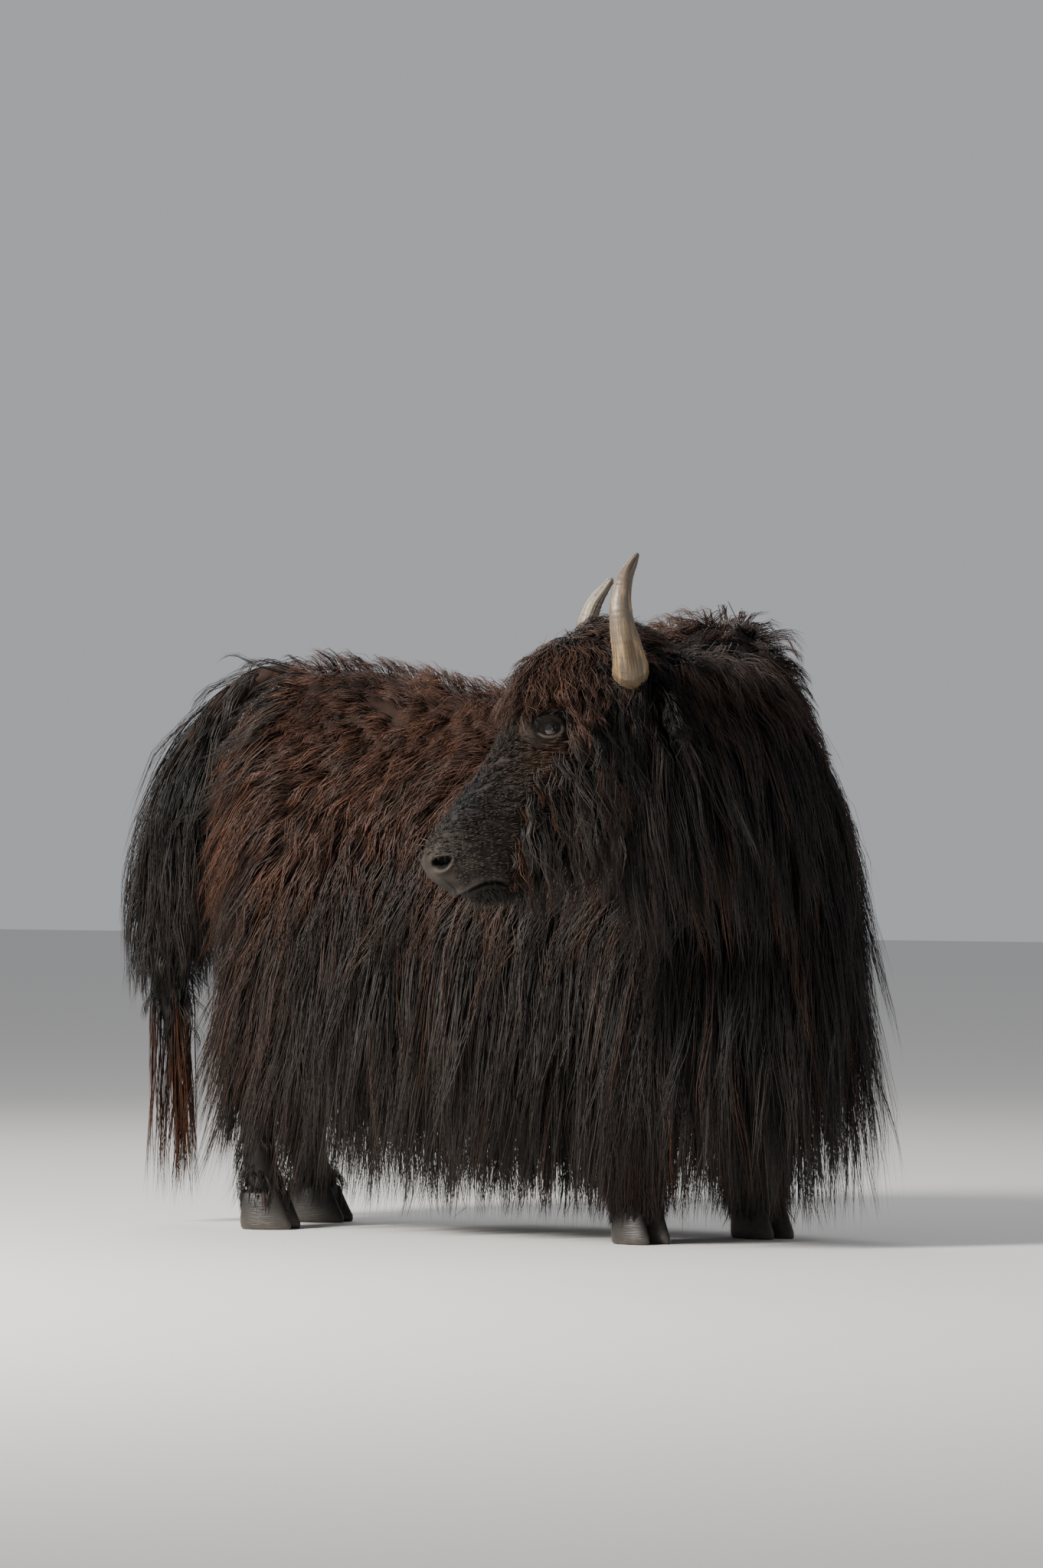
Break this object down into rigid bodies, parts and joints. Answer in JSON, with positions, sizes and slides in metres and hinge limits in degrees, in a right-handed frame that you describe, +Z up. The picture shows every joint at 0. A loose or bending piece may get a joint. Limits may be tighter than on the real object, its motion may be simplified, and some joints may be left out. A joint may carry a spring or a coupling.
{
  "type": "yak",
  "caption": "Life-size standing domestic yak in a long shaggy coat, head turned back over its right shoulder, on cloven hooves.",
  "frame": {"origin": "centre of the box round the animal, on the floor between its hooves", "axes": "+Z up, the trunk faces -Y, the animal's right side and its turned head are towards -X"},
  "size_m": [1.2068, 1.826, 1.4152],
  "materials": {
    "coat": "long dark brown to black hair, slightly glossy",
    "horn": "weathered tan horn, satin",
    "hoof": "dark worn hoof",
    "eye": "wet dark brown eye"
  },
  "bodies": {
    "root": {"torso": "coat", "head": "coat", "neck": "coat", "tail": "coat", "eye_left": "eye", "horn_left": "horn", "ear_left": "coat", "leg_fore_left": "coat", "hoof_fore_left": "hoof", "leg_hind_left": "coat", "hoof_hind_left": "hoof", "eye_right": "eye", "horn_right": "horn", "ear_right": "coat", "leg_fore_right": "coat", "hoof_fore_right": "hoof", "leg_hind_right": "coat", "hoof_hind_right": "hoof"}
  },
  "joints": []
}
